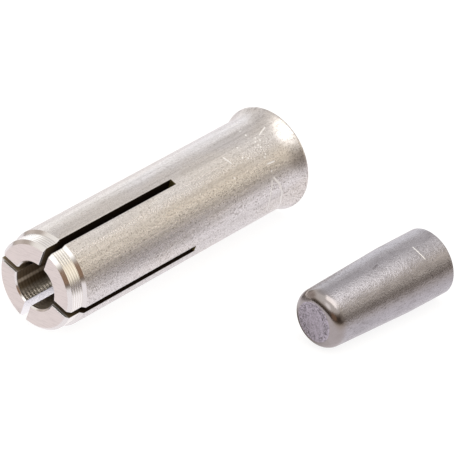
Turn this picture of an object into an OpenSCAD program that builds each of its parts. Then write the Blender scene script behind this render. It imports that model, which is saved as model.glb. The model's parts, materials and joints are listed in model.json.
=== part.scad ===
// Drop-in expansion anchor: a slotted, flared sleeve and the tapered plug that spreads it.
// Both pieces lie on the floor, Z = 0, with the sleeve along X and its slotted nose at -X.

/* [Sleeve body] */
// Length of the sleeve from nose face to mouth face
sleeve_len = 40; // [36:0.5:60]
// Outside diameter of the sleeve, a little under the drilled hole
body_d = 11.7; // [11.2:0.1:12.4]

/* [Nose] */
// Diameter of the relieved band behind the nose face
nose_d = 11; // [10:0.1:11.1]
// Length of the relieved band, nose face to the foot of the step
nose_len = 2.1; // [1:0.1:4]
// Chamfer round the nose face
nose_chamfer = 0.4; // [0.1:0.05:0.8]
// Diameter of the small bore in the nose, which the plug cannot leave by
nose_bore_d = 5.8; // [4.5:0.1:6.4]
// Depth of the small bore, nose face to the foot of the ramp
nose_bore_len = 6; // [3:0.5:9]
// Edge break at the mouth of the small bore
nose_bore_chamfer = 0.2; // [0.05:0.05:0.4]

/* [Slots] */
// Saw cuts across the sleeve, each leaving two slots
saw_cuts = 2; // [1:1:3]
// Width of a slot
slot_w = 0.85; // [0.5:0.05:1.4]
// Length of a slot on the outside of the sleeve
slot_len = 21; // [12:0.5:23]
// Radius of the slitting saw, which rounds the end of the cut
saw_r = 30; // [25:1:50]
// Turn of the first cut about the sleeve, from upright
slot_turn = 22.4; // [10:0.1:35]

/* [Thread bore and ramp] */
// Diameter of the bore before tapping
tap_drill_d = 8.5; // [8.2:0.05:9]
// Length of the ramp that the plug is driven down
ramp_len = 8; // [5:0.5:12]
// Diameter of the countersink at the mouth
countersink_d = 10.4; // [9.4:0.1:11]
// Full angle of the countersink
countersink_angle = 90; // [60:5:120]

/* [Flared mouth] */
// Diameter of the flared lip
flare_d = 12.9; // [12.5:0.1:14]
// Length of the flare along the sleeve
flare_len = 2.6; // [2:0.1:6]
// Straight land at the edge of the lip
lip_land = 0.25; // [0.1:0.05:0.6]

/* [Expander plug] */
// Clearance of the plug in the tapped bore, across the diameter
plug_clearance = 0.4; // [0.2:0.05:0.7]
// Length of the plug
plug_len = 18.6; // [16:0.1:24]
// Length of the tapered part
plug_taper_len = 12.5; // [10:0.1:14]
// Half angle of the taper
plug_half_angle = 2.4; // [1:0.1:4]
// Rounding of the small end
plug_nose_r = 1.5; // [0.6:0.1:1.8]
// Depth faced off the rounded end, which leaves a flat with a crisp rim
plug_facing = 0.045; // [0:0.005:0.2]
// Chamfer round the driven end
plug_chamfer = 0.25; // [0.1:0.05:0.6]

/* [Layout] */
// Clear floor between the sleeve's lip and the plug's small end
plug_gap = 16.3; // [4:0.1:40]
// Distance of the plug's small end behind the nose face, along the sleeve
plug_back = 17.5; // [0:0.5:40]
// Turn of the plug away from the sleeve, seen from above
plug_turn = 5; // [0:0.5:30]

/* [Hidden] */
$fn = 128;
sleeve_colour = "#c8c2bc";
plug_colour = "#8d888c";
// Overshoot of a cutter past the face that it opens
past = 1;

// Radii of the sleeve
body_r = body_d / 2;
nose_r = nose_d / 2;
face_r = nose_r - nose_chamfer;
nose_bore_r = nose_bore_d / 2;
tap_drill_r = tap_drill_d / 2;
countersink_r = countersink_d / 2;
flare_r = flare_d / 2;

// Stations along the sleeve, measured from the nose face
body_start = nose_len + body_r - nose_r;
flare_end = sleeve_len - lip_land;
flare_start = flare_end - flare_len;
ramp_end = nose_bore_len + ramp_len;
countersink_start = sleeve_len - (countersink_r - tap_drill_r) / tan(countersink_angle / 2);

// The flare is an arc that leaves the body tangentially and ends at the lip
flare_rise = flare_r - body_r;
flare_arc_r = (flare_len ^ 2 + flare_rise ^ 2) / (2 * flare_rise);

// The saw is sunk until its rim reaches the slot's end on the outside of the sleeve
saw_centre = slot_len - sqrt(saw_r ^ 2 - body_r ^ 2);
cut_step = 180 / saw_cuts;

// Radii of the plug, and the arc that rounds its small end
plug_r = (tap_drill_d - plug_clearance) / 2;
plug_tip_r = plug_r - plug_taper_len * tan(plug_half_angle);
tip_arc_z = plug_nose_r - plug_facing;
tip_arc_x = plug_tip_r + tip_arc_z * tan(plug_half_angle) - plug_nose_r / cos(plug_half_angle);
tip_arc_end = [tip_arc_x + plug_nose_r * cos(plug_half_angle), tip_arc_z - plug_nose_r * sin(plug_half_angle)];

// At rest the sleeve touches the floor at its lip and at the front of its body, so it tips up a little
sleeve_tip = atan(flare_rise / (flare_end - body_start));
sleeve_nose_z = body_r * cos(sleeve_tip) - body_start * sin(sleeve_tip);
// At rest the plug lies on its taper
plug_tip_z = plug_tip_r * cos(plug_half_angle);

// Nose face of the sleeve and small end of the plug, before the pair is centred
sleeve_foot = [0, 0, sleeve_nose_z];
plug_foot = [plug_back, -(flare_r + plug_gap + plug_tip_r), plug_tip_z];
sleeve_axis = [cos(sleeve_tip), 0, sin(sleeve_tip)];
plug_axis = [
    cos(plug_half_angle) * cos(plug_turn),
    -cos(plug_half_angle) * sin(plug_turn),
    sin(plug_half_angle)
];

// Circles [station, radius] on which the outermost points of each piece lie, and the rounding beyond them
sleeve_rings = [[0, face_r, 0], [nose_chamfer, nose_r, 0], [flare_end, flare_r, 0], [sleeve_len, flare_r, 0]];
plug_rings = [
    [tip_arc_z, tip_arc_x, plug_nose_r],
    [plug_taper_len, plug_r, 0],
    [plug_len - plug_chamfer, plug_r, 0],
    [plug_len, plug_r - plug_chamfer, 0]
];
function reach(foot, axis, ring, way, i) =
    way * (foot[i] + ring[0] * axis[i]) + ring[1] * sqrt(1 - axis[i] ^ 2) + ring[2];
function furthest(way, i) = max([
    for (ring = sleeve_rings) reach(sleeve_foot, sleeve_axis, ring, way, i),
    for (ring = plug_rings) reach(plug_foot, plug_axis, ring, way, i)
]);
function middle(i) = (furthest(1, i) - furthest(-1, i)) / 2;
pair_centre = [middle(0), middle(1), 0];

// Lays a piece that was made along Z, small end down, on the floor
module lay(foot, tip, turn) {
    translate(foot - pair_centre)
        rotate([0, 0, -turn])
            rotate([0, 90 - tip, 0])
                children();
}

// Half section of the sleeve's outside, radius across and length up
module sleeve_outside() {
    difference() {
        polygon([
            [0, 0],
            [face_r, 0],
            [nose_r, nose_chamfer],
            [nose_r, nose_len],
            [body_r, body_start],
            [body_r, flare_start],
            [flare_r, flare_start],
            [flare_r, sleeve_len],
            [0, sleeve_len]
        ]);
        translate([body_r + flare_arc_r, flare_start])
            circle(r = flare_arc_r);
    }
}

// Half section of the hole through the sleeve: nose bore, ramp, tapped bore and countersink
module sleeve_inside() {
    nose_break_r = nose_bore_r + nose_bore_chamfer;
    mouth_slope = tan(countersink_angle / 2);
    polygon([
        [0, -past],
        [nose_break_r + past, -past],
        [nose_bore_r, nose_bore_chamfer],
        [nose_bore_r, nose_bore_len],
        [tap_drill_r, ramp_end],
        [tap_drill_r, countersink_start],
        [countersink_r + past * mouth_slope, sleeve_len + past],
        [0, sleeve_len + past]
    ]);
}

// Discs swept by the slitting saw
module saw_slots() {
    for (i = [0 : saw_cuts - 1])
        rotate([0, 0, slot_turn + i * cut_step])
            translate([0, 0, saw_centre])
                rotate([90, 0, 0])
                    cylinder(r = saw_r, h = slot_w, center = true, $fn = 360);
}

module expansion_sleeve() {
    color(sleeve_colour)
        lay(sleeve_foot, sleeve_tip, 0)
            difference() {
                rotate_extrude() sleeve_outside();
                rotate_extrude() sleeve_inside();
                saw_slots();
            }
}

// Half section of the plug: rounded small end, long taper, parallel driven end
module plug_section() {
    polygon([
        [0, 0],
        [tip_arc_x, 0],
        tip_arc_end,
        [plug_r, plug_taper_len],
        [plug_r, plug_len - plug_chamfer],
        [plug_r - plug_chamfer, plug_len],
        [0, plug_len]
    ]);
    intersection() {
        translate([tip_arc_x, tip_arc_z])
            circle(r = plug_nose_r);
        translate([tip_arc_x, 0])
            square(2 * plug_nose_r);
    }
}

module expander_plug() {
    color(plug_colour)
        lay(plug_foot, plug_half_angle, plug_turn)
            rotate_extrude() plug_section();
}

expansion_sleeve();
expander_plug();
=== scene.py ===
import json
import math

import bmesh
import bpy
import numpy as np
from mathutils import Matrix, Vector


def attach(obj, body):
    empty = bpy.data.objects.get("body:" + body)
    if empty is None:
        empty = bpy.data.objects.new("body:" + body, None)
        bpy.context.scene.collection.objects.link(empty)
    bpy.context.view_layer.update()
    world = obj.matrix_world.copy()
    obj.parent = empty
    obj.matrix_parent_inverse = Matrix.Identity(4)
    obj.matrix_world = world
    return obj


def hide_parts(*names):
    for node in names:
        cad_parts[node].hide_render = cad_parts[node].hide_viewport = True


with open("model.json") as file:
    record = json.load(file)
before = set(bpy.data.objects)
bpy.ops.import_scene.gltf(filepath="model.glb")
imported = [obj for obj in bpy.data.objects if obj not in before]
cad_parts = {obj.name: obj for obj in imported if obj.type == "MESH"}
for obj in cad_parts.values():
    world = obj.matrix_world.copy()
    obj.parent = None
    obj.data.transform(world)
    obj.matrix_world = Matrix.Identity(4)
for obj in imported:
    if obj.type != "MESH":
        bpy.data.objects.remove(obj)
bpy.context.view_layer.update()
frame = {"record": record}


# Expansion sleeve.
# One turned steel sleeve, zinc plated and left satin; four saw slots make spring fingers of its nose.
# The lathe leaves rings on the nose band and in the nose bore; the mouth is flared, countersunk and tapped.

MM = 0.001
mounts = {m["name"]: m for m in frame["record"]["mounts"]}
body_r = mounts["body"]["dims"]["r_mm"]
bore_r = mounts["thread"]["dims"]["r_mm"]

sleeve_len = 40.0
nose_r = 5.5
nose_len = 2.1
nose_chamfer = 0.4
nose_bore_r = 2.9
nose_bore_len = 6.0
nose_bore_break = 0.2
ramp_len = 8.0
slot_w = 0.85
slot_len = 21.0
slot_turn = math.radians(22.4)
saw_r = 30.0
flare_r = 6.45
flare_len = 2.6
lip_land = 0.25
countersink_r = 5.2

step_end = nose_len + body_r - nose_r
ramp_end = nose_bore_len + ramp_len
flare_end = sleeve_len - lip_land
flare_start = flare_end - flare_len
countersink_start = sleeve_len - (countersink_r - bore_r)

# The lathe's marks: rings on the nose band and in the nose bore
band_ring_pitch = 0.36
band_ring_depth = 0.008
bore_ring_pitch = 0.49
bore_ring_depth = 0.034

# A right-hand thread cut outwards from the tap drill bore, fading at the tap's lead
thread_pitch = 1.5
thread_depth = 0.72
thread_len = 15.0
thread_lead = 2.5
thread_start = sleeve_len - thread_len
thread_crest = 0.25
thread_root = 0.125

# Edges that the saw and the lathe leave are broken by this much
edge_r = 0.06
lip_edge_r = 0.09

# How finely the mesh is divided, where the body behind the slots has points, and how it is welded
quarters = 4
arc_steps = 24
corner_steps = 4
wall_steps = 4
gap_steps = 3
flare_steps = 12
lip_steps = 4
steps_per_band_ring = 9
steps_per_bore_ring = 6
edge_shares = np.array([0, 0.08, 0.3, 0.6, 1.0])
step_support = 0.05
slot_end_support = 3
body_stations = (slot_len, slot_len + 2, slot_len + 8)
weld_gap = 0.0005
sleeve_crease = math.radians(40)


def ring_wave(z, start, end, pitch, depth):
    """Depth of the lathe's rings at each station, fading in and out over half a pitch at both ends."""
    fade = np.clip(np.minimum(z - start, end - z) / (0.5 * pitch), 0.0, 1.0)
    return depth * fade * (0.5 - 0.5 * np.cos(2 * np.pi * (z - start) / pitch))


def outside_r(z):
    """Outer radius of the sleeve in front of the slots' ends."""
    stations = [0, nose_chamfer, nose_len, step_end]
    r = np.interp(z, stations, [nose_r - nose_chamfer, nose_r, nose_r, body_r])
    return r - ring_wave(z, nose_chamfer, nose_len, band_ring_pitch, band_ring_depth)


def inside_r(z):
    """Radius of the hole through the sleeve, up to the thread."""
    stations = [0, nose_bore_break, nose_bore_len, ramp_end]
    r = np.interp(z, stations, [nose_bore_r + nose_bore_break, nose_bore_r, nose_bore_r, bore_r])
    return r + ring_wave(z, nose_bore_break, nose_bore_len, bore_ring_pitch, bore_ring_depth)


def saw_bulge(r):
    """How much deeper the round saw reaches at radius r than on the outside of the sleeve."""
    return np.sqrt(saw_r ** 2 - r ** 2) - math.sqrt(saw_r ** 2 - body_r ** 2)


def finger_half(r_out, r_in, half_gap):
    """Half of a finger's section, from its middle round its slot edge and back: radius and angle."""
    y = half_gap + edge_r
    x_out = math.sqrt((r_out - edge_r) ** 2 - y ** 2)
    x_in = math.sqrt((r_in + edge_r) ** 2 - y ** 2)
    a_out = math.atan2(y, x_out)
    a_in = math.atan2(y, x_in)
    middle = math.pi / quarters
    outer = [(r_out, a) for a in np.linspace(middle, a_out, arc_steps)]
    inner = [(r_in, a) for a in np.linspace(a_in, middle, arc_steps)]
    turns = np.linspace(0, 1, corner_steps + 1)[1:]
    corner_out = a_out + turns * (-math.pi / 2 - a_out)
    corner_in = -math.pi / 2 + turns * (a_in - math.pi / 2)
    points = [(x_out + edge_r * math.cos(t), y + edge_r * math.sin(t)) for t in corner_out]
    points += [(x, half_gap) for x in np.linspace(x_out, x_in, wall_steps + 1)[1:]]
    points += [(x_in + edge_r * math.cos(t), y + edge_r * math.sin(t)) for t in corner_in[:-1]]
    return np.array(outer + [(math.hypot(x, v), math.atan2(v, x)) for x, v in points] + inner)


class Shell:
    """Collects grids of points in polar form (radius, angle, station) and turns them into one mesh."""

    def __init__(self):
        self.points = []
        self.faces = []
        self.flat = []

    def grid(self, r, angle, z):
        r, angle, z = np.broadcast_arrays(r, angle, z)
        first = len(self.points)
        self.points += list(zip(*(v.ravel() for v in (r * np.cos(angle), r * np.sin(angle), z))))
        rows, cols = r.shape
        index = first + np.arange(rows * cols).reshape(rows, cols)
        for i in range(rows - 1):
            for j in range(cols - 1):
                self.faces.append((index[i, j], index[i, j + 1], index[i + 1, j + 1], index[i + 1, j]))
        return index

    def mesh(self, name):
        data = bpy.data.meshes.new(name)
        faces = [tuple(int(i) for i in face) for face in self.faces]
        data.from_pydata([tuple(p) for p in self.points], [], faces)
        data.polygons.foreach_set("use_smooth", [f not in self.flat for f in range(len(faces))])
        return data


def mirrored(half):
    """A finger's whole section: a half and its mirror image, so that the loop runs all the way round."""
    other = half[::-1].copy()
    other[:, 1] = 2 * math.pi / quarters - other[:, 1]
    return np.vstack([half, other[1:-1]])


def finger_grid(shell):
    """The finger itself, from the nose face to the ends of the slots beside it."""
    band = np.arange(nose_chamfer, nose_len, band_ring_pitch / steps_per_band_ring)
    rings = np.arange(nose_bore_break, nose_bore_len, bore_ring_pitch / steps_per_bore_ring)
    corners = [nose_chamfer, nose_len, step_end, step_end + step_support, nose_bore_break, nose_bore_len]
    rear = [ramp_end, slot_len - slot_end_support, slot_len]
    stations = np.concatenate([edge_r * edge_shares, band, rings, corners, rear])
    stations = np.unique(np.round(stations, 4))
    loops = []
    for z in stations:
        rounding = edge_r - math.sqrt(max(0.0, edge_r ** 2 - max(0.0, edge_r - z) ** 2))
        half = finger_half(float(outside_r(z)), float(inside_r(z)), slot_w / 2 + rounding)
        loops.append(mirrored(half))
    loops = np.array(loops)
    # The ends of the slots follow the round saw
    near_end = np.clip((stations - ramp_end) / (slot_len - ramp_end), 0, 1)
    heights = stations[:, None] + near_end[:, None] * saw_bulge(loops[:, :, 0])
    closed = np.concatenate([loops, loops[:, :1]], axis=1)
    heights = np.concatenate([heights, heights[:, :1]], axis=1)
    index = shell.grid(closed[:, :, 0], closed[:, :, 1], heights)
    # The nose face of the finger
    shell.flat.append(len(shell.faces))
    shell.faces.append(tuple(index[0, :-1]))


def rear_profile():
    """Stations and outer radii behind the slots: the plain body, the flare and the rounded lip."""
    flare_rise = flare_r - body_r
    flare_arc = (flare_len ** 2 + flare_rise ** 2) / (2 * flare_rise)
    run = flare_len * np.linspace(0, 1, flare_steps + 1)
    flare_out = body_r + flare_arc - np.sqrt(flare_arc ** 2 - run ** 2)
    turn = np.linspace(0, math.pi / 2, lip_steps + 1)
    lip_z = sleeve_len - lip_edge_r + lip_edge_r * np.sin(turn)
    lip_out = flare_r - lip_edge_r + lip_edge_r * np.cos(turn)
    plain = [(z, body_r) for z in body_stations]
    return np.array(plain + list(zip(flare_start + run, flare_out)) + list(zip(lip_z, lip_out)))


def quarter_shell():
    """One finger, the half slots beside it and the plain quarter of the body behind it."""
    shell = Shell()
    finger_grid(shell)
    half = finger_half(body_r, bore_r, slot_w / 2)
    slot_end = half[arc_steps - 1:len(half) - arc_steps + 1]
    gap = np.linspace(1, 0, gap_steps + 1)
    out_angles = np.concatenate([half[:arc_steps, 1], half[arc_steps - 1, 1] * gap[1:]])
    in_angles = np.concatenate([half[-arc_steps:, 1][::-1], half[-arc_steps, 1] * gap[1:]])
    profile = rear_profile()
    rim_r = np.array([[profile[-1, 1]], [countersink_r]])
    plain_bore = np.array([[slot_len + float(saw_bulge(bore_r))], [thread_start]])
    # Either side of the finger: slot end wall, outside, rim of the lip, plain bore
    for start, way in ((0, 1), (2 * math.pi / quarters, -1)):
        walls = slot_end[:, 1:] * gap[None]
        shell.grid(slot_end[:, :1], start + way * walls, slot_len + saw_bulge(slot_end[:, :1]))
        shell.grid(profile[:, 1:], start + way * out_angles[None], profile[:, :1])
        shell.flat += range(len(shell.faces), len(shell.faces) + len(out_angles) - 1)
        shell.grid(rim_r, start + way * np.vstack([out_angles, in_angles]), np.array([[sleeve_len]]))
        shell.grid(np.array([[bore_r]]), start + way * in_angles[None], plain_bore)
    return shell, in_angles


def thread_shell(in_angles):
    """The tapped bore and its countersink: rows that climb with the thread and stop at both of its ends."""
    shell = Shell()
    quarter = np.concatenate([in_angles[::-1], (2 * math.pi / quarters - in_angles)[1:]])
    starts = 2 * math.pi / quarters * np.arange(quarters)
    around = np.concatenate([quarter[:-1] + start for start in starts] + [[2 * math.pi]])
    flank = (1 - thread_crest - thread_root) / 2
    root_start = thread_crest + flank
    # One turn as shares of the pitch: along the crest, down a flank, along the root, half way up again
    phases = [0, thread_crest / 2, thread_crest, thread_crest + flank / 2]
    phases += [root_start, root_start + thread_root, 1 - flank / 2]
    depths = [0, 0, 0, 0.5, 1, 1, 0.5]
    turns = int(thread_len / thread_pitch) + 2
    phase = np.concatenate([k + np.array(phases) for k in range(turns)])
    depth = np.tile(depths, turns)
    climb = (phase[:, None] - 1 + around[None] / (2 * math.pi)) * thread_pitch
    z = np.clip(thread_start + climb, thread_start, sleeve_len)
    lead = np.clip((z - thread_start) / (thread_lead * thread_pitch), 0, 1)
    r = bore_r + thread_depth * depth[:, None] * lead
    r = np.maximum(r, bore_r + np.maximum(0, z - countersink_start))
    shell.grid(r, around[None], z)
    return shell


class Bench:
    """Lays out the nodes of one tree; most calls hand back the output of the node that they add."""

    def __init__(self, tree):
        self.nodes = tree.nodes
        self.links = tree.links

    def plug_in(self, socket, value):
        """Sets a socket to a plain value, or links another socket to it."""
        if isinstance(value, bpy.types.NodeSocket):
            self.links.new(value, socket)
        else:
            socket.default_value = value

    def add(self, kind, inputs=None, **settings):
        """A new node, with its settings made and its inputs, by name or number, set or linked."""
        node = self.nodes.new(kind)
        for name, value in settings.items():
            setattr(node, name, value)
        for name, value in (inputs or {}).items():
            self.plug_in(node.inputs[name], value)
        return node

    def calc(self, operation, *values):
        return self.add("ShaderNodeMath", dict(enumerate(values)), operation=operation).outputs[0]

    def vector(self, operation, *values, output="Vector"):
        node = self.add("ShaderNodeVectorMath", dict(enumerate(values)), operation=operation)
        return node.outputs[output]

    def ramp(self, value, low, high, start=0.0, end=1.0):
        """Goes smoothly from start to end as value goes from low to high."""
        inputs = dict(enumerate((value, low, high, start, end)))
        return self.add("ShaderNodeMapRange", inputs, interpolation_type="SMOOTHSTEP").outputs[0]

    def mix(self, share, first, second):
        """Goes from the first colour to the second as share goes from 0 to 1."""
        inputs = {"Factor": share, "A": first, "B": second}
        return self.add("ShaderNodeMix", inputs, data_type="RGBA").outputs["Result"]


def geometry_tree(name, inputs):
    """A Geometry Nodes tree that takes and gives geometry, with named inputs of these kinds besides."""
    tree = bpy.data.node_groups.new(name, "GeometryNodeTree")
    tree.interface.new_socket("Geometry", in_out="INPUT", socket_type="NodeSocketGeometry")
    for label, kind in inputs.items():
        tree.interface.new_socket(label, in_out="INPUT", socket_type="NodeSocket" + kind)
    tree.interface.new_socket("Geometry", in_out="OUTPUT", socket_type="NodeSocketGeometry")
    return tree


def fingers_tree():
    """Geometry Nodes: sets the quarter round the axis, adds the thread, and welds the seams."""
    tree = geometry_tree("four_fingers", {
        "Fingers": "Int", "Thread": "Object", "Weld": "Float", "Finish": "Material"})
    bench = Bench(tree)
    given = bench.add("NodeGroupInput").outputs
    points = bench.add("GeometryNodePoints", {"Count": given["Fingers"], "Position": (0, 0, 0)})
    index = bench.add("GeometryNodeInputIndex").outputs[0]
    step = bench.calc("DIVIDE", 2 * math.pi, given["Fingers"])
    turn = bench.add("ShaderNodeCombineXYZ", {"Z": bench.calc("MULTIPLY", index, step)})
    euler = bench.add("FunctionNodeEulerToRotation", {0: turn.outputs[0]})
    copies = bench.add("GeometryNodeInstanceOnPoints", {
        "Points": points.outputs[0],
        "Instance": given["Geometry"],
        "Rotation": euler.outputs[0],
    })
    thread = bench.add("GeometryNodeObjectInfo", {"Object": given["Thread"]})
    joined = bench.add("GeometryNodeJoinGeometry", {0: copies.outputs[0]})
    bench.plug_in(joined.inputs[0], thread.outputs["Geometry"])
    real = bench.add("GeometryNodeRealizeInstances", {0: joined.outputs[0]})
    weld = bench.add("GeometryNodeMergeByDistance", {"Geometry": real.outputs[0], "Distance": given["Weld"]})
    finish = bench.add("GeometryNodeSetMaterial", {"Geometry": weld.outputs[0], "Material": given["Finish"]})
    bench.add("NodeGroupOutput", {0: finish.outputs[0]})
    return tree


def made_mesh(start, tree, values):
    """The plain mesh that a Geometry Nodes tree makes of a starting mesh, with its named inputs set."""
    maker = bpy.data.objects.new(tree.name, start)
    bpy.context.scene.collection.objects.link(maker)
    modifier = maker.modifiers.new(tree.name, "NODES")
    modifier.node_group = tree
    for socket in tree.interface.items_tree:
        if socket.name in values:
            modifier[socket.identifier] = values[socket.name]
    depsgraph = bpy.context.evaluated_depsgraph_get()
    data = bpy.data.meshes.new_from_object(maker.evaluated_get(depsgraph))
    bpy.data.objects.remove(maker)
    return data


def outward(data):
    """Removes faces with no area and turns every face of a closed mesh outwards."""
    no_length = 1e-5
    work = bmesh.new()
    work.from_mesh(data)
    bmesh.ops.dissolve_degenerate(work, edges=work.edges, dist=no_length)
    bmesh.ops.recalc_face_normals(work, faces=work.faces)
    work.to_mesh(data)
    work.free()


class Finish(Bench):
    """A metal finish patterned in its piece's own space: millimetres, with Z along the axis from the nose."""

    def __init__(self, name, place):
        self.material = bpy.data.materials.new(name)
        self.material.use_nodes = True
        super().__init__(self.material.node_tree)
        self.shader = self.nodes["Principled BSDF"]
        self.shader.inputs["Metallic"].default_value = 1.0
        self.local = self.add("ShaderNodeMapping", {
            "Vector": self.add("ShaderNodeTexCoord").outputs["Object"],
            "Location": place.translation,
            "Rotation": place.to_euler(),
            "Scale": (MM, MM, MM),
        }, vector_type="TEXTURE").outputs[0]
        self.x, self.y, self.z = self.add("ShaderNodeSeparateXYZ", {0: self.local}).outputs
        squares = self.calc("ADD", self.calc("POWER", self.x, 2), self.calc("POWER", self.y, 2))
        self.radius = self.calc("SQRT", squares)

    def both(self, mask, *others):
        """Masks, and plain shares of them, multiplied together."""
        for other in others:
            mask = self.calc("MULTIPLY", mask, other)
        return mask

    def noise(self, per_mm, detail=2.0, rough=0.5, squash=(1, 1, 1)):
        """Noise with so many features in a millimetre, squashed along an axis to draw it out as streaks."""
        scale = [per_mm * k for k in squash]
        mapping = self.add("ShaderNodeMapping", {"Vector": self.local, "Scale": scale})
        inputs = {"Vector": mapping.outputs[0], "Scale": 1.0, "Detail": detail, "Roughness": rough}
        return self.add("ShaderNodeTexNoise", inputs).outputs["Fac"]

    def unrolled(self, unroll_r):
        """The surface laid flat: millimetres round the piece from its far side, and along it."""
        turn = self.calc("ARCTAN2", self.calc("MULTIPLY", self.y, -1), self.calc("MULTIPLY", self.x, -1))
        flat = {"X": self.calc("MULTIPLY", turn, unroll_r), "Y": self.z}
        return self.add("ShaderNodeCombineXYZ", flat).outputs[0]

    def scratch(self, flat, start, end, width):
        """1 along a straight scratch on the unrolled surface, fading over its width."""
        core = 0.3 * width
        run = Vector(end) - Vector(start)
        offset = self.vector("SUBTRACT", flat, start)
        along = self.vector("DOT_PRODUCT", offset, run, output="Value")
        # A dent is a scratch with no length
        share = self.calc("DIVIDE", along, max(run.length_squared, 1e-6))
        share = self.calc("MINIMUM", self.calc("MAXIMUM", share, 0), 1)
        nearest = self.add("ShaderNodeVectorMath", {0: run, "Scale": share}, operation="SCALE").outputs[0]
        away = self.vector("LENGTH", self.vector("SUBTRACT", offset, nearest), output="Value")
        return self.ramp(away, core, width, 1.0, 0.0)

    def bump(self, height, depth_mm, normal=None):
        inputs = {"Strength": 1.0, "Distance": depth_mm * MM, "Height": height}
        if normal is not None:
            inputs["Normal"] = normal
        return self.add("ShaderNodeBump", inputs).outputs[0]

    def varied(self, base, changes):
        """A value to which each mask adds its own amount."""
        for mask, amount in changes:
            base = self.calc("MULTIPLY_ADD", mask, amount, base)
        return base

    def surface(self, inputs):
        """Feeds the shader and hands back the finished material."""
        for name, value in inputs.items():
            self.plug_in(self.shader.inputs[name], value)
        return self.material


def lying(axis, nose):
    """Place of a turned piece: Z along its axis, Y as near upright as it goes."""
    z = Vector(axis).normalized()
    y = (Vector((0, 0, 1)) - z * z.z).normalized()
    place = Matrix((y.cross(z), y, z)).transposed().to_4x4()
    place.translation = nose
    return place


sleeve_axis = Vector(mounts["thread"]["axis"])
sleeve_place = lying(sleeve_axis, Vector(mounts["thread"]["pos_m"]) - sleeve_axis * countersink_start * MM)

# Colours of the plating and of the bare steel, and of the shade and light painted in the slots and bores
zinc = (0.72, 0.695, 0.695, 1)
zinc_warm = (0.71, 0.668, 0.63, 1)
zinc_speck = (0.22, 0.19, 0.17, 1)
# Bright specks painted as glints of the plating's grain
zinc_painted_glint = (0.90, 0.88, 0.87, 1)
turned_steel = (0.78, 0.76, 0.75, 1)
band_steel = (0.95, 0.94, 0.92, 1)
# Painted shade in the grooves of the nose band's rings
band_groove_painted_shade = (0.83, 0.80, 0.76, 1)
face_steel = (0.745, 0.68, 0.65, 1)
face_line = (0.44, 0.40, 0.39, 1)
saw_steel = (0.93, 0.93, 0.95, 1)
# Slot walls: near-black painted shade, brown painted shade and tan painted light near the nose face, browner
# at the slots' ends
slot_painted_shade = (0.020, 0.012, 0.007, 1)
slot_painted_shade_brown = (0.105, 0.078, 0.045, 1)
slot_painted_light_tan = (0.27, 0.215, 0.14, 1)
slot_end_brown = (0.16, 0.125, 0.045, 1)
nose_bore_steel = (0.86, 0.79, 0.69, 1)
# Painted shade on the upper wall of the nose bore, and the paler painted reflection streak along it
nose_bore_painted_shade = (0.17, 0.125, 0.075, 1)
nose_bore_painted_reflection = (0.66, 0.57, 0.46, 1)
# Painted shade inside the bore behind the nose
bore_painted_shade = (0.13, 0.10, 0.075, 1)
thread_steel = (0.42, 0.40, 0.39, 1)
scratch_bright = (0.95, 0.94, 0.93, 1)

# Marks, as angle round the sleeve (degrees) and station along it (mm)
sleeve_scratches = [
    # a chain of stations that each scratch follows, and its width
    ([(165.9, 34.7), (175, 35.4), (188, 35.95), (200, 36.1), (218, 36.6)], 0.19),
    ([(168, 34.3), (180.5, 33.9), (193.5, 33.75), (207, 33.95)], 0.17),
    ([(107.5, 37.6), (112.7, 36.0)], 0.12),
    ([(117, 29.3), (126.4, 29.6)], 0.12),
    ([(76, 34.5), (80.5, 36.0)], 0.12),
    ([(147.4, 34.4), (148.2, 35.5)], 0.13),
]
sleeve_dents = [
    (94.4, 34.7), (104.2, 34.6), (113.8, 32), (113.6, 35.2), (118.1, 34.7), (118.9, 35.5), (123, 34.7),
    (126.3, 34.8), (136.2, 34.8), (139.2, 34.5), (157.2, 34.6), (130.8, 32.2), (127.4, 31.5), (143, 28.8),
]
dent_r = 0.17


def marks(finish, unroll_r, scratches, dents=()):
    """1 on the scratches and dents of a piece, given by angle and station."""
    flat = finish.unrolled(unroll_r)

    def place(angle, station):
        return math.radians(angle - 180) * unroll_r, station, 0

    drawn = []
    for chain, width in scratches:
        drawn += [finish.scratch(flat, place(*a), place(*b), width) for a, b in zip(chain, chain[1:])]
    drawn += [finish.scratch(flat, place(*at), place(*at), dent_r) for at in dents]
    total = drawn[0]
    for mark in drawn[1:]:
        total = finish.calc("MAXIMUM", total, mark)
    return total


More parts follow.
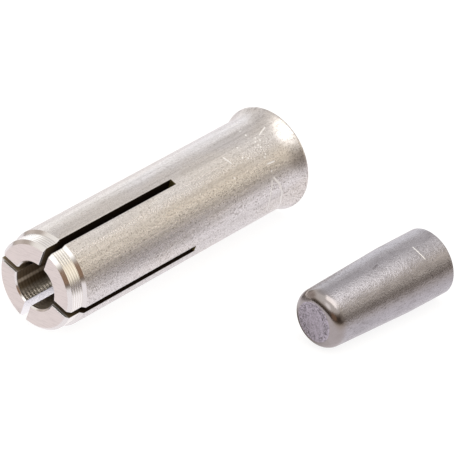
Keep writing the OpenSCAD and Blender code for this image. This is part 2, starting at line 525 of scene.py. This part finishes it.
def sleeve_look(place):
    """The sleeve's finish: plated body, bare turned nose, slots and parts of the bores painted dark as shade,
    and a scratched flare.
    """
    finish = Finish("sleeve_steel", place)
    calc, ramp, noise, mix, both = finish.calc, finish.ramp, finish.noise, finish.mix, finish.both
    blend = 0.05

    # Where each zone lies
    turned = ramp(finish.z, step_end - blend, step_end + blend, 1, 0)
    behind_chamfer = ramp(finish.z, nose_chamfer - 0.4 * blend, nose_chamfer + blend)
    band = both(behind_chamfer, ramp(finish.z, nose_len - blend, nose_len, 1, 0))
    face = ramp(finish.z, 0.0, 0.6 * blend, 1, 0)
    polished = ramp(finish.z, flare_start - 0.6, flare_start + 1.2)
    within_bore = ramp(finish.radius, bore_r + 0.1, bore_r + 0.35, 1, 0)
    within_nose = ramp(finish.radius, nose_bore_r + 0.1, nose_bore_r + 0.2, 1, 0)
    within_mouth = ramp(finish.radius, countersink_r - 0.1, countersink_r, 1, 0)
    nose_bore = both(within_nose, ramp(finish.z, 0.1, 0.4))
    inside = both(within_bore, ramp(finish.z, nose_bore_len - 0.2, nose_bore_len + 0.6))
    tapped = both(within_mouth, ramp(finish.z, thread_start - 2, thread_start))
    machined = calc("MAXIMUM", turned, nose_bore)
    plain = calc("SUBTRACT", 1, machined)

    # Low down in the nose bore its rings shine; higher up the wall is painted dark brown as shade and made
    # less metallic and rougher, with one paler streak painted along it as a reflection
    streak_y = -0.6
    dull = both(nose_bore, ramp(finish.y, -2.15, -1.35))
    from_streak = calc("ABSOLUTE", calc("SUBTRACT", finish.y, streak_y))
    streak = both(ramp(from_streak, 0.06, 0.32, 1, 0), ramp(finish.x, 1, 2))

    # Each saw cut is a plane through the axis; its walls are painted dark as shade, near-black deep in and
    # brown to tan near the nose face, but left as clean steel low down at the nose
    cuts = []
    for turn in (slot_turn, slot_turn + math.pi / 2):
        sideways = calc("MULTIPLY", finish.x, -math.sin(turn))
        across = calc("ABSOLUTE", calc("MULTIPLY_ADD", finish.y, math.cos(turn), sideways))
        cuts.append(ramp(across, slot_w / 2 + 0.01, slot_w / 2 + edge_r, 1, 0))
    high = calc("MAXIMUM", ramp(finish.y, -2.3, -1.9), ramp(finish.x, -1.6, -1.2, 1, 0))
    reach = calc("MAXIMUM", both(ramp(finish.z, 0.05, 0.5), high), ramp(finish.z, 5.5, 9.0))
    # The round saw reaches deeper inside than on the outside
    bulge = calc("MULTIPLY_ADD", calc("POWER", finish.radius, 2), 0.5 / saw_r, -0.5 * body_r ** 2 / saw_r)
    cut_z = calc("ADD", finish.z, bulge)
    wall = both(calc("MAXIMUM", *cuts), ramp(cut_z, slot_len + 0.02, slot_len + 0.06, 1, 0))
    slot_end = ramp(cut_z, slot_len - 0.12, slot_len - 0.03)
    # Where the slot walls are painted with shade; there they are also less metallic, with little sheen, and
    # rougher
    slot_shade_mask = both(wall, reach)

    # Grain of the plating with bright painted glints, streaks along the sleeve and wider warm stains
    grain = noise(5.2, detail=3, rough=0.6)
    fine = noise(9, detail=2, rough=0.6)
    streaks = noise(1.9, detail=3, rough=0.6, squash=(1, 1, 0.025))
    stain = noise(0.22, squash=(1, 1, 0.35))
    # The grain's specks, painted glints and relief are drawn strongest low on the near side, and weakest
    # along the top
    lean = calc("ADD", calc("MULTIPLY", finish.x, 0.64), calc("MULTIPLY", finish.y, 0.77))
    grain_strength = ramp(lean, -4, 5, 1.0, 0.42)
    specks = both(ramp(grain, 0.48, 0.68), plain)
    glints = both(ramp(fine, 0.36, 0.52, 1, 0), plain)
    colour = mix(ramp(stain, 0.4, 0.62), zinc, zinc_warm)
    colour = mix(both(ramp(streaks, 0.42, 0.68), 0.3), colour, zinc_speck)
    colour = mix(both(specks, grain_strength, 0.9), colour, zinc_speck)
    # Painted glints among the grain
    colour = mix(both(glints, grain_strength, 0.95), colour, zinc_painted_glint)
    colour = mix(turned, colour, turned_steel)
    # The nose band's rings are striped in colour: darker in each groove as painted shade
    ring_phase = calc("MULTIPLY", calc("SUBTRACT", finish.z, nose_chamfer), 2 * math.pi / band_ring_pitch)
    groove_painted_shade = ramp(calc("COSINE", ring_phase), -1, 1, 1, 0)
    colour = mix(band, colour, mix(groove_painted_shade, band_steel, band_groove_painted_shade))

    # The nose face keeps the straight lines of the parting tool
    lines = noise(6.0, detail=4, rough=0.7, squash=(0.08, 1, 0.08))
    lined = mix(ramp(lines, 0.42, 0.75, 0.0, 0.42), face_steel, face_line)
    colour = mix(face, colour, lined)
    colour = mix(nose_bore, colour, nose_bore_steel)
    # Painted shade on the upper nose bore, with its painted reflection streak
    colour = mix(dull, colour, mix(streak, nose_bore_painted_shade, nose_bore_painted_reflection))
    # The bore behind the nose is painted dark brown as shade
    colour = mix(inside, colour, bore_painted_shade)
    colour = mix(tapped, colour, thread_steel)
    colour = mix(wall, colour, saw_steel)
    # Painted shade in the slots: brown, with tan painted light further to one side, near the nose face;
    # near-black deeper in
    brown = mix(ramp(finish.x, 1.2, 2.4), slot_painted_shade_brown, slot_painted_light_tan)
    slot_shade_tone = mix(slot_end, slot_painted_shade, slot_end_brown)
    colour = mix(slot_shade_mask, colour, mix(ramp(finish.z, 0.6, 3.2), brown, slot_shade_tone))

    # Scratches and dents on the body, patchy along their length
    outside = ramp(finish.radius, body_r - 0.1, body_r - 0.02)
    patchy = ramp(noise(2.6), 0.3, 0.5, 0.75, 1)
    scraped = both(marks(finish, body_r, sleeve_scratches, sleeve_dents), outside, patchy)
    colour = mix(scraped, colour, scratch_bright)

    metal = finish.varied(1, [(slot_shade_mask, -0.95), (scraped, -0.9), (dull, -0.7)])
    rough = finish.varied(0.275, [
        (specks, 0.08),
        (polished, 0.06),
        (calc("SUBTRACT", streaks, 0.5), 0.08),
        (machined, -0.105),
        (band, 0.08),
        (face, 0.12),
        (scraped, 0.2),
        (nose_bore, 0.14),
        (dull, 0.25),
    ])

    plated = both(plain, grain_strength, finish.varied(1, [(polished, -0.7)]))
    relief = both(calc("MULTIPLY_ADD", fine, 0.5, calc("SUBTRACT", grain, 0.75)), plated)
    normal = finish.bump(relief, 0.05)
    normal = finish.bump(both(calc("SUBTRACT", lines, 0.5), face), 0.03, normal)
    normal = finish.bump(calc("MULTIPLY", scraped, -1), 0.02, normal)
    return finish.surface({
        "Base Color": colour,
        "Metallic": metal,
        "Specular IOR Level": finish.varied(0.5, [(slot_shade_mask, -0.45)]),
        "Roughness": calc("MAXIMUM", rough, calc("MULTIPLY", slot_shade_mask, 0.8)),
        "Normal": normal,
    })


quarter, inner_angles = quarter_shell()
thread_maker = bpy.data.objects.new("thread_maker", thread_shell(inner_angles).mesh("thread"))
bpy.context.scene.collection.objects.link(thread_maker)
sleeve_mesh = made_mesh(quarter.mesh("quarter"), fingers_tree(), {
    "Fingers": quarters,
    "Thread": thread_maker,
    "Weld": weld_gap,
    "Finish": sleeve_look(sleeve_place),
})
bpy.data.objects.remove(thread_maker)
outward(sleeve_mesh)
sleeve_mesh.transform(sleeve_place @ Matrix.Rotation(slot_turn, 4, "Z") @ Matrix.Scale(MM, 4))
sleeve_mesh.set_sharp_from_angle(angle=sleeve_crease)
sleeve = bpy.data.objects.new("slotted_sleeve", sleeve_mesh)
bpy.context.scene.collection.objects.link(sleeve)
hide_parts("expansion_sleeve")
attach(sleeve, "root")


# Expander plug.
# One turned steel plug, darker than the sleeve, with a long shallow taper and a rounded small end.
# The small end is cut off and left rough in the middle; the driven end is parallel and flat.

plug_len = 18.6
plug_r = 4.05
plug_taper_len = 12.5
plug_half_angle = math.radians(2.4)
plug_nose_r = 1.5
plug_facing = 0.045
plug_chamfer = 0.25
plug_edge_r = 0.1
plug_taper_blend_r = 3.0
plug_rim_support = 0.03
plug_facets = 192
plug_corner_steps = 14
plug_crease = math.radians(9)
plug_tip_r = plug_r - plug_taper_len * math.tan(plug_half_angle)

# The rounded end meets the flat that was faced off it at a slight angle
tip_arc_z = plug_nose_r - plug_facing
tip_arc_x = plug_tip_r + tip_arc_z * math.tan(plug_half_angle) - plug_nose_r / math.cos(plug_half_angle)
flat_r = tip_arc_x + math.sqrt(plug_nose_r ** 2 - tip_arc_z ** 2)
rim_angle = math.asin((flat_r - tip_arc_x) / plug_nose_r)
rim_turn = math.pi / 2 - plug_half_angle - rim_angle
rim_run = plug_nose_r * math.tan(rim_turn / 2)

plug_axis = Vector(mounts["driven_end"]["axis"])
plug_place = lying(plug_axis, Vector(mounts["driven_end"]["pos_m"]) - plug_axis * plug_len * MM)


def lathe_tree():
    """Geometry Nodes: rounds the corners of a half section and turns it about Z."""
    tree = geometry_tree("turned_plug", {
        "Facets": "Int", "Corner Steps": "Int", "Weld": "Float", "Finish": "Material"})
    bench = Bench(tree)
    given = bench.add("NodeGroupInput").outputs
    rounding = bench.add("GeometryNodeInputNamedAttribute", {"Name": "rounding"}, data_type="FLOAT")
    curve = bench.add("GeometryNodeMeshToCurve", {"Mesh": given["Geometry"]})
    section = bench.add("GeometryNodeFilletCurve", {
        "Curve": curve.outputs[0],
        "Count": given["Corner Steps"],
        "Radius": rounding.outputs[0],
        "Limit Radius": True,
    }, mode="POLY").outputs[0]
    # A sheet with a row for each point of the section, and each row turned round the axis
    size = bench.add("GeometryNodeAttributeDomainSize", {0: section}, component="CURVE")
    around = bench.calc("ADD", given["Facets"], 1)
    sheet = bench.add("GeometryNodeMeshGrid", {
        "Vertices X": size.outputs["Point Count"],
        "Vertices Y": around,
    })
    index = bench.add("GeometryNodeInputIndex").outputs[0]
    row = bench.calc("FLOOR", bench.calc("DIVIDE", index, around))
    column = bench.calc("MODULO", index, around)
    sample = bench.add("GeometryNodeSampleIndex", {
        "Geometry": section,
        "Value": bench.add("GeometryNodeInputPosition").outputs[0],
        "Index": row,
    }, data_type="FLOAT_VECTOR")
    angle = bench.calc("MULTIPLY", column, bench.calc("DIVIDE", 2 * math.pi, given["Facets"]))
    turn = bench.add("ShaderNodeVectorRotate", {
        "Vector": sample.outputs[0],
        "Angle": angle,
    }, rotation_type="Z_AXIS")
    shape = bench.add("GeometryNodeSetPosition", {
        "Geometry": sheet.outputs["Mesh"],
        "Position": turn.outputs[0],
    })
    weld = bench.add("GeometryNodeMergeByDistance", {"Geometry": shape.outputs[0], "Distance": given["Weld"]})
    real = bench.add("GeometryNodeRealizeInstances", {0: weld.outputs[0]})
    finish = bench.add("GeometryNodeSetMaterial", {"Geometry": real.outputs[0], "Material": given["Finish"]})
    bench.add("NodeGroupOutput", {0: finish.outputs[0]})
    return tree


plug_violet = (0.445, 0.43, 0.46, 1)
plug_dark = (0.15, 0.135, 0.14, 1)
# Brown painted on the rounded end as a reflection of the dim room
plug_painted_reflection = (0.345, 0.305, 0.285, 1)
flat_violet = (0.62, 0.58, 0.66, 1)
pit_dark = (0.10, 0.09, 0.10, 1)
pit_ring_r = 1.85
plug_scratches = [
    ([(106.7, 14.7), (121, 14.75), (134.4, 14.95)], 0.1),
]
plug_scuffs = [
    ([(106.5, 8.4), (103.5, 9.2)], 0.2),
    ([(159, 14.9), (166.8, 15.1)], 0.16),
]


def plug_look(place):
    """The plug's finish: fine dark grain, a shoulder painted brown as a reflection, and a scarred, dull cut
    end.
    """
    finish = Finish("plug_steel", place)
    calc, ramp, noise, mix, both = finish.calc, finish.ramp, finish.noise, finish.mix, finish.both
    blend = 0.02

    within_flat = ramp(finish.radius, flat_r - blend, flat_r + blend, 1, 0)
    flat = both(ramp(finish.z, 0.0, 1.5 * blend, 1, 0), within_flat)
    shoulder = ramp(finish.z, 0.5 * plug_nose_r, 1.3 * plug_nose_r, 1, 0)
    rounded = both(shoulder, calc("SUBTRACT", 1, flat))

    # Fine grain all over, drawn out a little along the plug
    grain = noise(4.5, detail=4, rough=0.65, squash=(1, 1, 0.7))
    mottle = noise(1.3, detail=3, rough=0.55, squash=(1, 1, 0.5))
    streaks = noise(1.8, detail=3, rough=0.6, squash=(1, 1, 0.05))
    specks = both(ramp(grain, 0.5, 0.72), finish.varied(1, [(rounded, -0.8)]))
    colour = mix(both(specks, 0.5), plug_violet, plug_dark)
    colour = mix(both(ramp(mottle, 0.45, 0.7), 0.22), colour, plug_dark)
    colour = mix(both(ramp(streaks, 0.5, 0.8), 0.12), colour, plug_dark)
    # The rounded end is painted brown as a reflection of the dim room
    colour = mix(both(rounded, 0.65), colour, plug_painted_reflection)

    # The cut end is dull and scarred, most in a ring round its middle
    crinkle = calc("ABSOLUTE", calc("SUBTRACT", noise(2.3, detail=3, rough=0.65), 0.5))
    scars = both(ramp(crinkle, 0.012, 0.05, 1, 0), ramp(noise(1.2), 0.32, 0.52))
    from_ring = calc("ABSOLUTE", calc("SUBTRACT", finish.radius, pit_ring_r))
    pits = both(scars, ramp(from_ring, 0.1, 0.8, 1, 0.5), flat)
    colour = mix(flat, colour, flat_violet)
    colour = mix(both(pits, 0.9), colour, pit_dark)

    # One bright scratch and two darker scuffs
    scraped = marks(finish, plug_r, plug_scratches)
    scuffed = marks(finish, plug_r, plug_scuffs)
    colour = mix(both(scraped, 0.9), colour, scratch_bright)
    colour = mix(both(scuffed, 0.5), colour, plug_dark)

    body = finish.varied(1, [(rounded, -0.9)])
    pocks = noise(6)
    normal = finish.bump(both(calc("SUBTRACT", grain, 0.5), body), 0.04)
    normal = finish.bump(calc("MULTIPLY", pits, -1), 0.04, normal)
    normal = finish.bump(both(calc("SUBTRACT", pocks, 0.5), flat), 0.02, normal)
    return finish.surface({
        "Base Color": colour,
        "Roughness": finish.varied(0.27, [(specks, 0.12), (rounded, -0.1), (flat, 0.25), (scraped, 0.15)]),
        "Normal": normal,
    })


# Half section, as radius along X and length along Z, with each corner's rounding
plug_corners = [
    ((0, 0, 0), 0),
    ((flat_r - plug_rim_support, 0, 0), 0),
    ((flat_r, 0, 0), 0),
    ((flat_r + rim_run * math.cos(rim_angle), 0, rim_run * math.sin(rim_angle)), plug_nose_r),
    ((plug_r, 0, plug_taper_len), plug_taper_blend_r),
    ((plug_r, 0, plug_len - plug_chamfer), plug_edge_r),
    ((plug_r - plug_chamfer, 0, plug_len), plug_edge_r),
    ((plug_r - 2 * plug_chamfer, 0, plug_len), 0),
    ((0, 0, plug_len), 0),
]
half_section = bpy.data.meshes.new("plug_section")
section_edges = [(i, i + 1) for i in range(len(plug_corners) - 1)]
half_section.from_pydata([point for point, _ in plug_corners], section_edges, [])
rounding = half_section.attributes.new("rounding", "FLOAT", "POINT")
rounding.data.foreach_set("value", [r for _, r in plug_corners])
plug_mesh = made_mesh(half_section, lathe_tree(), {
    "Facets": plug_facets,
    "Corner Steps": plug_corner_steps,
    "Weld": weld_gap,
    "Finish": plug_look(plug_place),
})
outward(plug_mesh)
plug_mesh.transform(plug_place @ Matrix.Scale(MM, 4))
plug_mesh.polygons.foreach_set("use_smooth", [True] * len(plug_mesh.polygons))
plug_mesh.set_sharp_from_angle(angle=plug_crease)
plug = bpy.data.objects.new("turned_plug", plug_mesh)
bpy.context.scene.collection.objects.link(plug)
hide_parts("expander_plug")
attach(plug, "root")


# Studio: a white floor, a pale room with a darker side, and one softbox.
# The camera stands where the photograph was taken from, looking down at the pair through a long lens.

floor_half = 3
paper_white = (1, 1, 1, 1)
paper_grey = (0.26, 0.26, 0.26, 1)
paper_glow = 0.84
paper_lit = (1, 0.955, 0.975, 1)
plug_shade = (0.18, 0.14, 0.11, 1)
room_dark = (0.10, 0.075, 0.055, 1)
paper_fade = [
    # distance from the middle of the lit paper (mm), colour
    (23, paper_lit),
    (35, (0.76, 0.69, 0.63, 1)),
    (45, (0.34, 0.27, 0.21, 1)),
    (58, room_dark),
]
paper_reach = paper_fade[-1][0]
# The lit paper reaches further along X than along Y, and behind the pieces, along Y, it is white again
paper_squash = 0.62
paper_shift = (-7.5, -5, 0)
white_from, white_all = 12 * MM, 45 * MM
# The plug's shade on it: middle and half size (mm), and its rim and core as shares of the half size
shade_mid, shade_half = (5, -8.5), (15, 8)
shade_rim, shade_core = 1.1, 0.4


def heading(azimuth, elevation):
    """Unit vector for an azimuth, from +X towards +Y, and an elevation, in degrees."""
    a, e = math.radians(azimuth), math.radians(elevation)
    return Vector((math.cos(a) * math.cos(e), math.sin(a) * math.cos(e), math.sin(e)))


def fade(bench, value, stops, interpolation):
    """Colours along a value from 0 to 1, given as pairs of position and colour."""
    node = bench.add("ShaderNodeValToRGB", {"Fac": value})
    node.color_ramp.interpolation = interpolation
    while len(node.color_ramp.elements) < len(stops):
        node.color_ramp.elements.new(0.5)
    for stop, (position, colour) in zip(node.color_ramp.elements, stops):
        stop.position = position
        stop.color = colour
    return node.outputs["Color"]


def mirrored_paper(bench):
    """Colour of the floor as the metal mirrors it."""
    on_floor = bench.add("ShaderNodeTexCoord").outputs["Object"]
    # The paper is lit round the pieces and, to the right and the front, gives way to the dim warm room
    spot = bench.add("ShaderNodeMapping", {
        "Vector": on_floor,
        "Scale": (paper_squash / MM, 1 / MM, 0),
        "Location": paper_shift,
    })
    no_limit = 1 / MM
    right = bench.vector("MAXIMUM", spot.outputs[0], (0, -no_limit, 0))
    front = bench.vector("MINIMUM", right, (no_limit, 0, 0))
    away = bench.calc("DIVIDE", bench.vector("LENGTH", front, output="Value"), paper_reach)
    tone = fade(bench, away, [(distance / paper_reach, colour) for distance, colour in paper_fade], "EASE")
    # Behind the pieces it stays white, all the way back
    back = bench.add("ShaderNodeSeparateXYZ", {0: on_floor}).outputs["Y"]
    tone = bench.mix(bench.ramp(back, white_from, white_all), tone, paper_lit)
    # Between the pieces it lies in the plug's shade, which darkens the sleeve's near side at the nose
    beside = bench.add("ShaderNodeMapping", {
        "Vector": on_floor,
        "Scale": [1 / (MM * half) for half in shade_half] + [0],
        "Location": [-mid / half for mid, half in zip(shade_mid, shade_half)] + [0],
    })
    off = bench.vector("LENGTH", beside.outputs[0], output="Value")
    return bench.mix(bench.ramp(off, shade_rim, shade_core), tone, plug_shade)


def paper_look():
    """The floor: the camera sees white with a light shadow, the metal sees paper that fades."""
    material = bpy.data.materials.new("white_paper")
    material.use_nodes = True
    bench = Bench(material.node_tree)
    bench.nodes.remove(bench.nodes["Principled BSDF"])
    shadowed = bench.add("ShaderNodeBsdfDiffuse", {"Color": paper_grey})
    glow = bench.add("ShaderNodeEmission", {"Color": paper_white, "Strength": paper_glow})
    seen = bench.add("ShaderNodeAddShader", {0: shadowed.outputs[0], 1: glow.outputs[0]})
    reflected = bench.add("ShaderNodeEmission", {"Color": mirrored_paper(bench), "Strength": 1.0})
    look = bench.add("ShaderNodeMixShader", {
        "Fac": bench.add("ShaderNodeLightPath").outputs["Is Camera Ray"],
        1: reflected.outputs[0],
        2: seen.outputs[0],
    })
    bench.plug_in(bench.nodes["Material Output"].inputs["Surface"], look.outputs[0])
    return material


floor_mesh = bpy.data.meshes.new("floor")
floor_corners = [(floor_half * x, floor_half * y, 0) for x, y in ((-1, -1), (1, -1), (1, 1), (-1, 1))]
floor_mesh.from_pydata(floor_corners, [], [(0, 1, 2, 3)])
floor_mesh.materials.append(paper_look())
floor = bpy.data.objects.new("floor", floor_mesh)
bpy.context.scene.collection.objects.link(floor)

# The room as the metal mirrors it: brown and dim round the table, white behind it, paler overhead
room_heights = [
    # elevation, colour
    (-4, (0.060, 0.042, 0.030, 1)),
    (12, room_dark),
    (22, (0.30, 0.25, 0.20, 1)),
    (31, (0.95, 0.90, 0.84, 1)),
    (50, (1.05, 1.02, 0.98, 1)),
]
white_wall = (1.24, 1.24, 1.26, 1)
room_patches = [
    # azimuth and elevation of the middle, clear and faded radius, colour
    (-143, 8, 13, 20, (0.30, 0.19, 0.125, 1)),
    (-167, 42, 8, 17, (1.60, 1.58, 1.56, 1)),
    (-58, 4, 10, 40, (0.40, 0.35, 0.30, 1)),
    (104, 20, 14, 30, (0.66, 0.58, 0.53, 1)),
    (112, 27, 4, 12, (0.52, 0.45, 0.40, 1)),
    (101, -1, 4, 11, (0.42, 0.36, 0.32, 1)),
    (45, 58, 14, 32, (0.70, 0.675, 0.67, 1)),
    (-38, 26, 14, 30, (0.96, 0.85, 0.69, 1)),
    (-42, 14, 7, 15, (1.08, 1.00, 0.87, 1)),
    (-29, 41, 6, 16, (0.56, 0.525, 0.49, 1)),
    (20, 0, 17, 29, white_wall),
    (50, 3, 17, 31, white_wall),
]

world = bpy.data.worlds.new("studio_room")
bpy.context.scene.world = world
world.use_nodes = True
room_bench = Bench(world.node_tree)
direction = room_bench.add("ShaderNodeTexCoord").outputs["Generated"]
upward = room_bench.add("ShaderNodeSeparateXYZ", {0: direction}).outputs["Z"]
level = room_bench.calc("MULTIPLY_ADD", upward, 0.5, 0.5)
room_stops = [(0.5 + 0.5 * math.sin(math.radians(elevation)), colour) for elevation, colour in room_heights]
room = fade(room_bench, level, room_stops, "LINEAR")
for azimuth, elevation, clear, faded, colour in room_patches:
    facing = room_bench.vector("DOT_PRODUCT", direction, heading(azimuth, elevation), output="Value")
    patch = room_bench.ramp(facing, math.cos(math.radians(faded)), math.cos(math.radians(clear)))
    room = room_bench.mix(patch, room, colour)
room_bench.plug_in(room_bench.nodes["Background"].inputs["Color"], room)

softbox_distance = 0.6
softbox = bpy.data.lights.new("softbox", "AREA")
softbox.shape = "RECTANGLE"
softbox.size = 0.4
softbox.size_y = 0.56
softbox.energy = 0.9
softbox.color = (1.0, 0.97, 0.93)
lamp = bpy.data.objects.new("softbox", softbox)
lamp.location = heading(-73.5, 71) * softbox_distance
lamp.rotation_euler = (-lamp.location).to_track_quat("-Z", "Y").to_euler()
bpy.context.scene.collection.objects.link(lamp)

view_from = Vector((-0.318626, -0.277429, 0.237138))
view_along = heading(41.194, -28.297)
view_focal_px = 4244.2
photo_px = 455
eye = bpy.data.cameras.new("eye")
eye.sensor_width = 36
eye.lens = eye.sensor_width * view_focal_px / photo_px
eye.clip_start = 0.01
camera = bpy.data.objects.new("eye", eye)
camera.location = view_from
camera.rotation_euler = view_along.to_track_quat("-Z", "Y").to_euler()
bpy.context.scene.collection.objects.link(camera)
bpy.context.scene.camera = camera
bpy.context.scene.view_settings.view_transform = "Standard"
